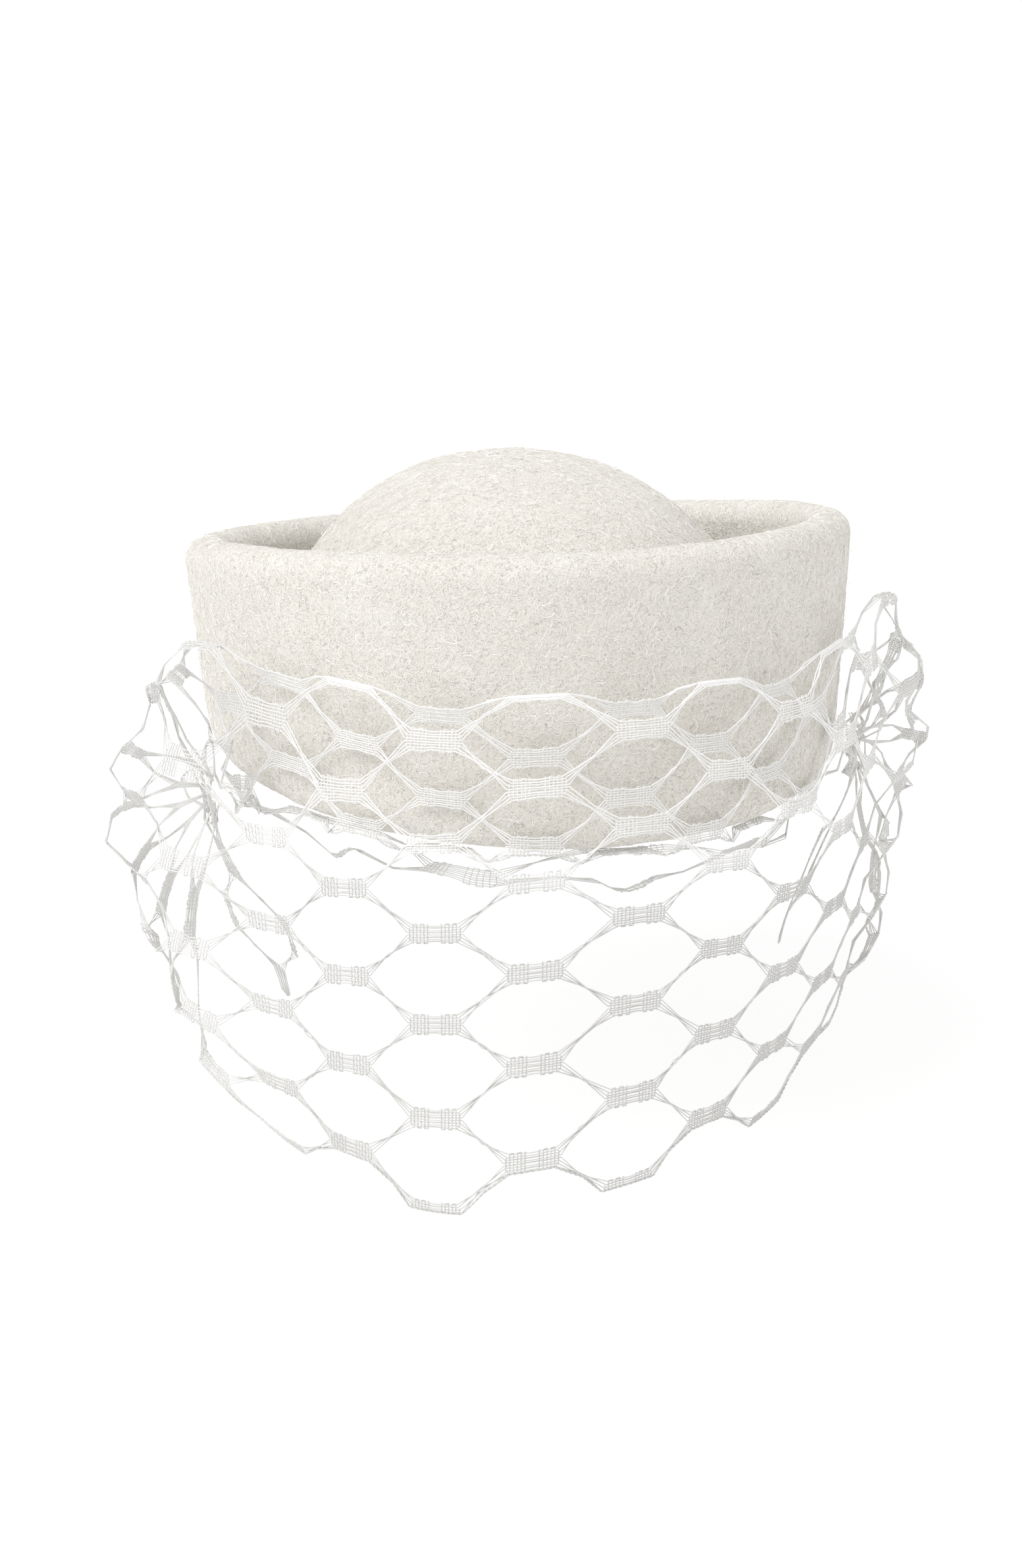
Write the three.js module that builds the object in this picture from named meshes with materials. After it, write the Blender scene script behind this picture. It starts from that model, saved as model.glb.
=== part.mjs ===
// Felt hat with a domed crown, a turned-up brim and a folded net veil, in millimetres, +Z up.
// The front of the hat looks along -Y, +X is the right side of a front view, and the head
// opening lies in the plane z = 0. Angles are measured from the front, positive toward +X.
import * as THREE from 'three';

// Felt body
const crownWidth = 165;
const crownDepth = 206;
const crownHeight = 90.5;
const crownFullness = 0.92;
const feltWall = 2.6;
const troughWidthSide = 18.5;
const troughWidthEnds = 13;
const rimFlareSide = 5;
const rimBackShift = 5;
const rimHeightFront = 88.5;
const rimHeightSide = 70;
const rimHeightBack = 46;
const rimFoldThickness = 14;
const flapGap = 1;
const flapShare = 0.72;
const baseCornerRadius = 5;
const headCornerRadius = 3;

// Net strip before it is draped
const veilLength = 470;
const veilWidth = 229;
const netPeriods = 8;
const netRows = 8;
const netThickness = 1.2;
const strandWidth = 2.4;
const blockLength = 20;
const blockShoulder = 12;
const blockHeight = 5.6;

// Draped veil
const sewnInset = 5;
const sewnGap = 0.4;
const wallGap = 3;
const foldHeight = 54;
const foldReach = 9;
const bellyReach = 15;
const hemDrop = 102;
const hemReach = 9;
const fanStart = 118;
const fanAngleLeft = 55;
const fanAngleRight = 48;
const gatherAngle = 77;
const gatherReach = 5;
const gatherDrop = 3;
const knotRadius = 5;
const puffSwingLeft = 168;
const puffSwingRight = 140;
const sideSag = 15;
const hemLean = 7;
const hemCurl = 20;

// How finely the solids are faceted
const turns = 56;
const foldSteps = 6;
const cornerSteps = 3;
const domeSteps = 7;

const feltMaterial = new THREE.MeshStandardMaterial({ color: 0xeae6dd, roughness: 0.95, metalness: 0 });
const netMaterial = new THREE.MeshStandardMaterial({ color: 0xf6f5f1, roughness: 0.7, metalness: 0 });

const radians = THREE.MathUtils.degToRad;
const mix = THREE.MathUtils.lerp;

// Distance from the hat's axis to an oval of the given width and depth
function ovalRadius(angle, width, depth) {
  return 1 / Math.hypot(Math.sin(angle) / (width / 2), Math.cos(angle) / (depth / 2));
}

function crownLine(angle) {
  return ovalRadius(angle, crownWidth, crownDepth);
}

function baseLine(angle) {
  return ovalRadius(angle, crownWidth + 2 * troughWidthSide, crownDepth + 2 * troughWidthEnds);
}

function rimLine(angle) {
  const flare = rimFlareSide * Math.sin(angle) ** 2;
  return baseLine(angle) + flare - rimBackShift * Math.cos(angle);
}

function rimHeight(angle) {
  const sides = rimHeightSide - (rimHeightBack + rimHeightFront) / 2;
  return mix(rimHeightBack, rimHeightFront, (1 + Math.cos(angle)) / 2) + sides * Math.sin(angle) ** 2;
}

function arc(centreX, centreY, radius, from, to, steps) {
  const points = [];
  for (let i = 0; i <= steps; i += 1) {
    const a = radians(mix(from, to, i / steps));
    points.push(new THREE.Vector2(centreX + radius * Math.cos(a), centreY + radius * Math.sin(a)));
  }
  return points;
}

// Middle line of the felt in the upright plane at one angle, from the edge of the flap inside
// the brim, over the rim, down the outer wall, under the trough and up over the crown.
function feltPath(angle) {
  const half = feltWall / 2;
  const base = baseLine(angle) - half;
  const rim = rimLine(angle) - half;
  const crown = crownLine(angle) - half;
  const foldRadius = (rimFoldThickness - feltWall) / 2;
  const foldCentre = rimHeight(angle) - half - foldRadius;
  const wallAt = (z) => mix(base, rim, z / foldCentre);
  const flapEnd = foldCentre * (1 - flapShare);
  const flap = [0, 0.5].map((share) => {
    const z = mix(flapEnd, foldCentre, share);
    return new THREE.Vector2(wallAt(z) - mix(feltWall + flapGap, 2 * foldRadius, share), z);
  });
  const fold = arc(rim - foldRadius, foldCentre, foldRadius, 180, 0, foldSteps);
  const wall = [0.66, 0.33].map((share) => new THREE.Vector2(wallAt(foldCentre * share), foldCentre * share));
  const corner = arc(base - baseCornerRadius, half + baseCornerRadius, baseCornerRadius, 0, -90, cornerSteps);
  const head = arc(crown + headCornerRadius, half + headCornerRadius, headCornerRadius, -90, -180, cornerSteps);
  const foot = half + headCornerRadius;
  const dome = [];
  for (let i = 1; i <= domeSteps; i += 1) {
    const a = radians((90 * i) / domeSteps);
    const z = mix(foot, crownHeight - half, Math.sin(a));
    dome.push(new THREE.Vector2(i === domeSteps ? 0 : crown * Math.cos(a) ** crownFullness, z));
  }
  return [...flap, ...fold, ...wall, ...corner, ...head, ...dome];
}

// The path moved sideways by a distance, which gives one face of the felt
function offsetPath(path, distance) {
  return path.map((point, i) => {
    if (i === path.length - 1) {
      return new THREE.Vector2(0, point.y + distance);
    }
    const before = path[Math.max(i - 1, 0)];
    const after = path[i + 1];
    const along = after.clone().sub(before).normalize();
    return new THREE.Vector2(point.x - along.y * distance, point.y + along.x * distance);
  });
}

function onPlane(angle, radius, height) {
  return new THREE.Vector3(radius * Math.sin(angle), -radius * Math.cos(angle), height);
}

function solid(name, vertices, faces, material) {
  const geometry = new THREE.BufferGeometry();
  geometry.setAttribute('position', new THREE.Float32BufferAttribute(vertices.flatMap((v) => v.toArray()), 3));
  geometry.setIndex(faces.flat());
  geometry.computeVertexNormals();
  const mesh = new THREE.Mesh(geometry, material);
  mesh.name = name;
  return mesh;
}

// One felt body: the two faces of the wall are joined at the flap's edge and close at the apex
function feltHood() {
  const vertices = [];
  const faces = [];
  const rings = [];
  for (let j = 0; j < turns; j += 1) {
    const angle = (2 * Math.PI * j) / turns;
    const path = feltPath(angle);
    const above = offsetPath(path, -feltWall / 2);
    const below = offsetPath(path, feltWall / 2);
    const loop = [...above.slice(0, -1).reverse(), ...below.slice(0, -1)];
    rings.push(loop.map((p) => vertices.push(onPlane(angle, p.x, p.y)) - 1));
  }
  const apexAbove = vertices.push(new THREE.Vector3(0, 0, crownHeight)) - 1;
  const apexBelow = vertices.push(new THREE.Vector3(0, 0, crownHeight - feltWall)) - 1;
  rings.forEach((ring, j) => {
    const next = rings[(j + 1) % turns];
    faces.push([apexAbove, ring[0], next[0]]);
    for (let k = 0; k < ring.length - 1; k += 1) {
      faces.push([ring[k], next[k + 1], next[k]], [ring[k], ring[k + 1], next[k + 1]]);
    }
    faces.push([apexBelow, next[ring.length - 1], ring[ring.length - 1]]);
  });
  return solid('felt_hood', vertices, faces, feltMaterial);
}

// Smooth curve through a table of rows: the first number of a row is where it lies on the
// strip, from 0 at the sewn edge to 1 at the hem, and the others are the values there.
function smoothRow(rows, place) {
  const last = rows.length - 1;
  let i = 0;
  while (i < last - 1 && place > rows[i + 1][0]) {
    i += 1;
  }
  const slope = (k, c) => {
    const low = Math.max(k - 1, 0);
    const high = Math.min(k + 1, last);
    return (rows[high][c] - rows[low][c]) / (rows[high][0] - rows[low][0]);
  };
  const span = rows[i + 1][0] - rows[i][0];
  const s = (place - rows[i][0]) / span;
  return rows[i].slice(1).map((value, n) => {
    const c = n + 1;
    const rise = (3 - 2 * s) * s * s;
    const start = slope(i, c) * span * s * (1 - s) ** 2;
    const end = slope(i + 1, c) * span * s * s * (s - 1);
    return mix(value, rows[i + 1][c], rise) + start + end;
  });
}

// Section of the draped veil: place on the strip, reach beyond the felt's wall, height
const drapeRows = [
  [0, -sewnInset, -sewnGap - netThickness / 2],
  [0.035, wallGap * 0.5, -sewnGap - netThickness],
  [0.0625, wallGap, foldHeight * 0.08],
  [0.125, wallGap, foldHeight * 0.34],
  [0.25, mix(wallGap, foldReach, 0.3), foldHeight * 0.86],
  [0.3125, foldReach, foldHeight],
  [0.375, mix(foldReach, bellyReach, 0.8), foldHeight * 0.8],
  [0.5, bellyReach, foldHeight * 0.27],
  [0.75, mix(bellyReach, hemReach, 0.3), -hemDrop * 0.41],
  [1, hemReach, -hemDrop],
];

// Side to side: place between the fans, -1 on the left and 1 on the right, then how much of the
// side sag the fold and the hanging net have, and how much of its lean and curl the hem has
const sideRows = [
  [-1, 0.2, 1.1, 0.7, 0.8],
  [-0.5, 0.2, 0.4, 1, 0],
  [0, 0, 0, 0.3, 0],
  [0.5, 0.2, 0.35, -0.7, 0.4],
  [1, 0.1, 0.6, -1.5, 1.2],
];

// Which way the net leaves the gathered end: place on the strip, front, out and up shares
const fanRows = [
  [0, 1, 0, -0.1],
  [0.15, 0.8, 0.3, 0.5],
  [0.3125, 0.1, 0.8, 1.1],
  [0.5, -0.3, 1, 0.2],
  [0.75, -0.1, 0.8, -0.7],
  [1, 0.5, 0.4, -0.9],
];

// How far the right puff swings out: place on the strip, share of its swing
const puffRows = [
  [0, 1],
  [0.28, 1],
  [0.5, 1.05],
  [0.65, 0.84],
  [0.8, 0.66],
  [1, 0.8],
];

// Point of the middle of the veil, between the fans: turn is -1 at the left fan and 1 at the right
function drapePoint(turn, place) {
  const [reach, height] = smoothRow(drapeRows, place);
  const [foldSag, netSag, lean, curl] = smoothRow(sideRows, turn);
  const loose = THREE.MathUtils.smoothstep(place, 0, 0.25);
  const sag = mix(foldSag, netSag, THREE.MathUtils.smoothstep(place, 0.3, 0.5));
  const angle = radians(turn < 0 ? fanAngleLeft * turn : fanAngleRight * turn);
  const drop = sideSag * sag * loose + hemLean * lean * place ** 2 - hemCurl * curl * place ** 8;
  return onPlane(angle, baseLine(angle) + reach, height - drop);
}

// Point of the veil's surface: the middle of the strip hangs from the front of the base, and
// each end swings out beside the hat and is gathered to a knot below the base edge.
function veilPoint(along, across) {
  const side = Math.sign(along) || 1;
  const place = across / veilWidth;
  const reachAlong = Math.abs(along);
  if (reachAlong <= fanStart) {
    return drapePoint(along / fanStart, place);
  }
  const start = drapePoint(side, place);
  const before = drapePoint(side * 0.99, place);
  const leave = start.clone().sub(before).normalize();
  const turn = radians(gatherAngle) * side;
  const out = onPlane(turn, 1, 0);
  const front = new THREE.Vector3(out.y, -out.x, 0).multiplyScalar(side);
  const [fanFront, fanOut, fanUp] = smoothRow(fanRows, place);
  const fan = front.clone().multiplyScalar(fanFront).addScaledVector(out, fanOut);
  fan.z += fanUp;
  fan.normalize();
  const knot = onPlane(turn, baseLine(turn) + gatherReach, -gatherDrop);
  const end = knot.clone().addScaledVector(fan, knotRadius);
  const s = (reachAlong - fanStart) / (veilLength / 2 - fanStart);
  const rise = (3 - 2 * s) * s * s;
  const point = start.lerp(end, rise);
  const [rightShare] = smoothRow(puffRows, place);
  const swing = side < 0 ? puffSwingLeft : puffSwingRight * rightShare;
  point.addScaledVector(leave, swing * s * (1 - s) ** 2);
  point.addScaledVector(fan, swing * s * s * (1 - s));
  return point;
}

function veilNormal(along, across) {
  const step = 0.05;
  const limit = veilLength / 2 - step;
  const a = THREE.MathUtils.clamp(along, -limit, limit);
  const b = THREE.MathUtils.clamp(across, step, veilWidth - step);
  const alongEdge = veilPoint(a + step, b).sub(veilPoint(a - step, b));
  const acrossEdge = veilPoint(a, b + step).sub(veilPoint(a, b - step));
  return alongEdge.cross(acrossEdge).normalize();
}

// Flat outlines of the net: a block where threads are woven together, and the legs between
// blocks, which share the slanted edges of the blocks they join and narrow halfway.
function netPatches() {
  const patches = [];
  const column = veilLength / netPeriods / 2;
  const row = veilWidth / netRows;
  const high = blockHeight / 2;
  const tip = blockLength / 2;
  const shoulder = blockShoulder / 2;
  const block = (c, across) => {
    const x = c * column;
    const top = Math.max(across - high, 0);
    const low = Math.min(across + high, veilWidth);
    return {
      leftTip: [x - tip, across],
      rightTip: [x + tip, across],
      leftTop: [x - shoulder, top],
      rightTop: [x + shoulder, top],
      leftLow: [x - shoulder, low],
      rightLow: [x + shoulder, low],
      top,
      low,
      across,
    };
  };
  const rowsOf = (c) => {
    const list = [];
    const shift = c % 2 === 0 ? 0 : 0.5;
    for (let r = shift; r <= netRows; r += 1) {
      list.push(block(c, r * row));
    }
    return list;
  };
  const leg = (a1, a2, b1, b2) => {
    const middle = [(a1[0] + a2[0] + b1[0] + b2[0]) / 4, (a1[1] + a2[1] + b1[1] + b2[1]) / 4];
    const dx = b1[0] + b2[0] - a1[0] - a2[0];
    const dy = b1[1] + b2[1] - a1[1] - a2[1];
    const scale = strandWidth / 2 / Math.hypot(dx, dy);
    const one = [middle[0] + dy * scale, middle[1] - dx * scale];
    const two = [middle[0] - dy * scale, middle[1] + dx * scale];
    patches.push([a2, a1, one, two], [two, one, b1, b2]);
  };
  for (let c = 1 - netPeriods; c < netPeriods; c += 1) {
    rowsOf(c).forEach((b) => {
      const ring = [b.leftTip, b.leftTop, b.rightTop, b.rightTip];
      if (b.across === 0) {
        patches.push([b.leftTip, b.rightTip, b.rightLow, b.leftLow]);
      } else if (b.low === veilWidth) {
        patches.push(ring);
      } else {
        patches.push([...ring, b.rightLow, b.leftLow]);
      }
    });
  }
  for (let c = 1 - netPeriods; c < netPeriods - 1; c += 1) {
    rowsOf(c).forEach((a) => {
      rowsOf(c + 1).forEach((b) => {
        const gap = b.across - a.across;
        if (Math.abs(Math.abs(gap) - row / 2) < row / 4) {
          if (gap < 0) {
            leg(a.rightTop, a.rightTip, b.leftTip, b.leftLow);
          } else {
            leg(a.rightTip, a.rightLow, b.leftTop, b.leftTip);
          }
        }
      });
    });
  }
  return patches;
}

// The net as one solid: every patch has a face on each side of the veil's surface, and every
// edge that only one patch has gets a wall.
function veil() {
  const vertices = [];
  const faces = [];
  const known = new Map();
  const corner = ([along, across]) => {
    const key = `${along.toFixed(4)} ${across.toFixed(4)}`;
    if (!known.has(key)) {
      const normal = veilNormal(along, across).multiplyScalar(netThickness / 2);
      const point = veilPoint(along, across);
      vertices.push(point.clone().add(normal), point.clone().sub(normal));
      known.set(key, vertices.length / 2 - 1);
    }
    return known.get(key);
  };
  const loose = new Map();
  netPatches().forEach((patch) => {
    const ring = patch.map(corner);
    for (let k = 1; k < ring.length - 1; k += 1) {
      faces.push([2 * ring[0], 2 * ring[k], 2 * ring[k + 1]]);
      faces.push([2 * ring[0] + 1, 2 * ring[k + 1] + 1, 2 * ring[k] + 1]);
    }
    ring.forEach((from, k) => {
      const to = ring[(k + 1) % ring.length];
      if (loose.has(`${to} ${from}`)) {
        loose.delete(`${to} ${from}`);
      } else {
        loose.set(`${from} ${to}`, [from, to]);
      }
    });
  });
  loose.forEach(([from, to]) => {
    faces.push([2 * from, 2 * from + 1, 2 * to + 1], [2 * from, 2 * to + 1, 2 * to]);
  });
  return solid('veil', vertices, faces, netMaterial);
}

const hat = new THREE.Group();
hat.add(feltHood());
hat.add(veil());

export default hat;
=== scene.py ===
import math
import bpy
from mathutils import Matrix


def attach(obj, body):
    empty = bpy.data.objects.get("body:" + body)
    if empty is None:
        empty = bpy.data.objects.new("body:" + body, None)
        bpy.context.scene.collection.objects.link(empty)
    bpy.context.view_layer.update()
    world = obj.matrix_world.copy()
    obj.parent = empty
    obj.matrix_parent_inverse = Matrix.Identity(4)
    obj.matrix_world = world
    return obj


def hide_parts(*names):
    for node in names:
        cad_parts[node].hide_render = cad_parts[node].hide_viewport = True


bl_info = {
    "name": "Felt pillbox hat with a net veil",
    "version": (1, 0, 0),
    "blender": (4, 5, 0),
    "location": "3D View > Sidebar > Hat",
    "description": "Felt body, its nap, the knotted net veil and a plain studio",
    "category": "Add Mesh",
}

from types import SimpleNamespace

import bmesh
import bpy
import numpy as np
from bpy.props import FloatProperty, FloatVectorProperty, IntProperty, PointerProperty
from mathutils import Matrix, Vector, noise
from mathutils.bvhtree import BVHTree

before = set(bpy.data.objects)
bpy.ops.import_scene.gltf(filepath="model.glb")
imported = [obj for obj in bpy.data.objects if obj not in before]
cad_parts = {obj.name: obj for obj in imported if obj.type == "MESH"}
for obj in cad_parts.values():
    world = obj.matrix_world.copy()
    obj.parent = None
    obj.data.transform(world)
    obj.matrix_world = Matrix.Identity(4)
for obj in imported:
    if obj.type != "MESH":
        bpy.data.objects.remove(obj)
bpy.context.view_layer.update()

MM = 0.001

# ---------------------------------------------------------------- sizes and colours


def size(name, description, default):
    return FloatProperty(name=name, description=description, default=default, min=0, unit="LENGTH", precision=5)


def share(name, description, default):
    return FloatProperty(name=name, description=description, default=default, min=0, max=1, subtype="FACTOR")


def turn(name, description, degrees):
    return FloatProperty(name=name, description=description, default=math.radians(degrees), unit="ROTATION")


def colour(name, description, default):
    return FloatVectorProperty(
        name=name, description=description, default=default, size=3, min=0, max=1, subtype="COLOR"
    )


class HatFelt(bpy.types.PropertyGroup):
    """Sizes of the felt body"""

    crown_width: size("Crown width", "Width of the crown at the head opening", 0.165)
    crown_depth: size("Crown depth", "Front to back at the head opening", 0.206)
    crown_height: size("Crown height", "Height of the dome above the head opening", 0.0905)
    crown_fullness: share("Crown fullness", "Lower makes the dome's shoulders fuller", 0.92)
    felt_wall: size("Felt thickness", "Thickness of the felt", 0.0026)
    trough_side: size("Trough at the sides", "Crown to brim at the left and right", 0.0185)
    trough_ends: size("Trough at the ends", "Crown to brim at the front and back", 0.013)
    rim_flare: size("Brim flare", "How far the brim leans out at the sides", 0.005)
    rim_back_shift: size("Brim shift", "How far the brim's top stands back", 0.005)
    rim_front: size("Brim height in front", "Height of the turned-up brim in front", 0.0885)
    rim_side: size("Brim height at the sides", "Height of the turned-up brim at the sides", 0.070)
    rim_back: size("Brim height behind", "Height of the turned-up brim behind", 0.046)
    rim_fold: size("Fold thickness", "Thickness of the brim's rolled edge", 0.014)
    flap_gap: size("Flap gap", "Air between the brim and the flap folded inside it", 0.001)
    flap_share: share("Flap share", "How far down the brim the inner flap reaches", 0.72)
    base_corner: size("Base corner", "Radius where the brim turns up", 0.005)
    head_corner: size("Head corner", "Radius where the crown rises", 0.003)
    unevenness: size("Unevenness", "How far the hand-blocked felt strays from its form", 0.0007)


class HatNet(bpy.types.PropertyGroup):
    """Sizes of the net strip and its threads"""

    length: size("Strip length", "Length of the net before it is gathered", 0.470)
    width: size("Strip width", "Width of the net from the sewn edge to the hem", 0.229)
    thread: size("Thread", "Thickness of one thread", 0.000415)
    loose_thread: size("Loose thread", "Thickness of a thread in the loose net below the base", 0.00033)
    pitch: size("Thread pitch", "Spacing of the threads in a woven block", 0.00078)
    pinch: size("Pinch pitch", "Spacing of the threads halfway between blocks", 0.00020)
    block_tip: size("Block tip", "Half length of a woven block along its middle", 0.0088)
    block_edge: size("Block edge", "Half length of a woven block along its edge", 0.0066)
    patch_start: size("Bare middle", "Half length of the unwoven middle of a block", 0.0021)
    pick_pitch: size("Pick pitch", "Spacing of the cross threads", 0.00112)
    picks: IntProperty(name="Picks", description="Cross threads in each woven patch", default=6, min=1, max=12)
    hem_cord: size("Hem cord", "Thickness of one strand of the hem's cord", 0.00042)


class HatDrape(bpy.types.PropertyGroup):
    """How the net hangs from the hat"""

    sewn_inset: size("Sewn inset", "How far under the base the net is sewn", 0.005)
    sewn_gap: size("Sewn gap", "Air between the base and the net", 0.0004)
    net_thickness: size("Net thickness", "Thickness of the net's solid", 0.0012)
    wall_gap: size("Wall gap", "Air between the brim and the net behind the fold", 0.003)
    fold_height: size("Fold height", "Height of the fold above the head opening", 0.054)
    fold_reach: size("Fold reach", "How far the fold stands off the brim", 0.009)
    belly_reach: size("Belly reach", "How far the net stands off at the base", 0.015)
    hem_drop: size("Hem drop", "How far the hem hangs below the head opening", 0.102)
    hem_reach: size("Hem reach", "How far the hem stands off", 0.009)
    fan_start: size("Fan start", "Strip length from the middle to where the net leaves the hat", 0.118)
    fan_left: turn("Left fan", "Angle from the front where the net leaves the hat on the left", 55)
    fan_right: turn("Right fan", "Angle from the front where the net leaves the hat on the right", 48)
    gather_angle: turn("Gather angle", "Angle from the front to each gathered end", 77)
    gather_reach: size("Gather reach", "How far each knot stands off the base", 0.005)
    gather_drop: size("Gather drop", "How far each knot lies below the base", 0.003)
    knot_radius: size("Knot radius", "Radius of the gathered end", 0.005)
    swing_left: size("Left swing", "How far the left end of the net swings out", 0.168)
    swing_right: size("Right swing", "How far the right end of the net swings out", 0.140)
    side_sag: size("Side sag", "How far the net sags towards the sides", 0.015)
    hem_lean: size("Hem lean", "How far the hem leans to one side", 0.007)
    hem_curl: size("Hem curl", "How far the hem's corners curl up", 0.020)


class HatLook(bpy.types.PropertyGroup):
    """Colours and nap"""

    felt: colour("Felt", "Main colour of the felt", (0.95, 0.937, 0.905))
    felt_shade: colour("Felt shade", "Colour between the felt's fibres", (0.79, 0.76, 0.70))
    fibre_light: colour("Fibre colour", "Colour of the loose fibres on the felt", (0.97, 0.96, 0.933))
    thread: colour("Thread", "Colour of the net's threads", (0.93, 0.925, 0.91))
    # Painted shade: the greyer colour given to threads that hang clear of the felt, where the real thread is the
    # same white
    thread_painted_shade: colour("Hanging thread painted shade", "Painted shade: colour of the threads that hang clear of the felt", (0.70, 0.695, 0.68))
    floor: colour("Floor", "Colour of the studio floor", (0.26, 0.26, 0.26))
    fibres: IntProperty(name="Fibres", description="Loose fibres on the felt", default=18500, min=0, max=19500)
    fibre: size("Fibre", "Width of a loose fibre", 0.00015)


PARTS = (("hat_felt", HatFelt), ("hat_net", HatNet), ("hat_drape", HatDrape), ("hat_look", HatLook))


def sizes_of(group):
    """A plain copy of a property group, quick to read in loops."""
    names = [p.identifier for p in group.bl_rna.properties if p.identifier not in ("rna_type", "name")]
    return SimpleNamespace(**{n: getattr(group, n) for n in names})


def mix(a, b, t):
    return a + (b - a) * t


# ---------------------------------------------------------------- form of the felt


# Steps of the felt's middle line, in its order, then steps once round the hat
FLAP_STEPS = 8
FOLD_STEPS = 14
WALL_STEPS = 15
BASE_CORNER_STEPS = 6
HEAD_CORNER_STEPS = 4
DOME_STEPS = 28
TURNS = 240

FLAP_WAVE = 1.5 * MM


def oval_radius(angle, width, depth):
    return 1 / np.hypot(np.sin(angle) / (width / 2), np.cos(angle) / (depth / 2))


def crown_line(s, angle):
    return oval_radius(angle, s.crown_width, s.crown_depth)


def base_line(s, angle):
    return oval_radius(angle, s.crown_width + 2 * s.trough_side, s.crown_depth + 2 * s.trough_ends)


def rim_line(s, angle):
    return base_line(s, angle) + s.rim_flare * np.sin(angle) ** 2 - s.rim_back_shift * np.cos(angle)


def rim_height(s, angle):
    sides = s.rim_side - (s.rim_back + s.rim_front) / 2
    return mix(s.rim_back, s.rim_front, (1 + np.cos(angle)) / 2) + sides * np.sin(angle) ** 2


def on_plane(angle, radius, height):
    return np.stack([radius * np.sin(angle), -radius * np.cos(angle), height + 0 * angle], axis=-1)


def arc(centre_r, centre_z, radius, first, last, steps):
    for a in np.radians(np.linspace(first, last, steps + 1)):
        yield centre_r + radius * math.cos(a), centre_z + radius * math.sin(a)


def felt_path(s, angle):
    """Middle line of the felt in the upright plane at each angle: radius and height, one row a point.
    It runs from the flap's edge over the brim, down the wall, under the trough and up the dome."""
    half = s.felt_wall / 2
    base = base_line(s, angle) - half
    rim = rim_line(s, angle) - half
    crown = crown_line(s, angle) - half
    fold = (s.rim_fold - s.felt_wall) / 2
    top = rim_height(s, angle) - half - fold
    flap_end = top * (1 - s.flap_share)

    def wall_at(z):
        return mix(base, rim, z / top)

    rows = []
    for t in np.linspace(0, 1, FLAP_STEPS + 1)[:-1]:
        z = mix(flap_end, top, t)
        rows.append((wall_at(z) - mix(s.felt_wall + s.flap_gap, 2 * fold, t), z))
    rows += arc(rim - fold, top, fold, 180, 0, FOLD_STEPS)
    corner_top = half + s.base_corner
    for t in np.linspace(0, 1, WALL_STEPS + 1)[1:-1]:
        z = mix(top, corner_top, t)
        rows.append((wall_at(z), z))
    rows += arc(base - s.base_corner, corner_top, s.base_corner, 0, -90, BASE_CORNER_STEPS)
    for t in (0.33, 0.67):
        rows.append((mix(base - s.base_corner, crown + s.head_corner, t), half + 0 * angle))
    foot = half + s.head_corner
    rows += arc(crown + s.head_corner, foot, s.head_corner, -90, -180, HEAD_CORNER_STEPS)
    for t in np.radians(np.linspace(0, 90, DOME_STEPS + 1)[1:]):
        out = crown * max(math.cos(t), 0) ** s.crown_fullness
        rows.append((out, mix(foot, s.crown_height - half, math.sin(t)) + 0 * angle))
    radius = np.array([r + 0 * angle for r, z in rows])
    height = np.array([z + 0 * angle for r, z in rows])
    return radius, height


# ---------------------------------------------------------------- form of the veil


PERIODS = 8  # of the net's pattern along the strip
ROWS = 8  # of meshes across it
GROUP = 8  # threads in a full block

PLEATS = 8
PLEAT_DEPTH = 4.2 * MM
WAVE = 0.9 * MM
SEAM_DROP = 11.5 * MM
SEAM_CRUMPLE = 2.6 * MM
SEAM_RADIUS = 70 * MM
BUNCH_SIZE = 10 * MM
TAIL_LENGTH = 88 * MM
TAIL_WIDTH = 30 * MM
TAIL_DROP = 66 * MM


def smoothstep(x, low, high):
    t = np.clip((x - low) / (high - low), 0, 1)
    return t * t * (3 - 2 * t)


def smooth_row(rows, place):
    """Smooth curve through a table of rows. The first number of a row is its place, the others are values."""
    rows = np.array(rows, float)
    at, values = rows[:, 0], rows[:, 1:]
    last = len(rows) - 1
    low = np.maximum(np.arange(last + 1) - 1, 0)
    high = np.minimum(np.arange(last + 1) + 1, last)
    slopes = (values[high] - values[low]) / (at[high] - at[low])[:, None]
    i = np.clip(np.searchsorted(at, place, side="left") - 1, 0, last - 1)
    span = at[i + 1] - at[i]
    t = ((place - at[i]) / span)[:, None]
    span = span[:, None]
    rise = (3 - 2 * t) * t * t
    found = mix(values[i], values[i + 1], rise)
    found = found + slopes[i] * span * t * (1 - t) ** 2 + slopes[i + 1] * span * t * t * (t - 1)
    return found.T


def drape_rows(d):
    """Section of the hanging net: place on the strip, reach beyond the brim's wall, height."""
    return [
        [0, -d.sewn_inset, -d.sewn_gap - d.net_thickness / 2],
        [0.035, d.wall_gap * 0.5, -d.sewn_gap - d.net_thickness],
        [0.0625, d.wall_gap, d.fold_height * 0.08],
        [0.125, d.wall_gap, d.fold_height * 0.34],
        [0.25, mix(d.wall_gap, d.fold_reach, 0.3), d.fold_height * 0.86],
        [0.3125, d.fold_reach, d.fold_height],
        [0.375, mix(d.fold_reach, d.belly_reach, 0.8), d.fold_height * 0.8],
        [0.5, d.belly_reach, d.fold_height * 0.27],
        [0.75, mix(d.belly_reach, d.hem_reach, 0.3), -d.hem_drop * 0.41],
        [1, d.hem_reach, -d.hem_drop],
    ]


# Side to side: place between the fans, then shares of the fold's sag, the net's sag, lean and curl
SIDE_ROWS = [
    [-1, 0.2, 1.1, 0.7, 0.8],
    [-0.5, 0.2, 0.4, 1, 0],
    [0, 0, 0, 0.3, 0],
    [0.5, 0.2, 0.35, -0.7, 0.4],
    [1, 0.1, 0.6, -1.5, 1.2],
]

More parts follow.
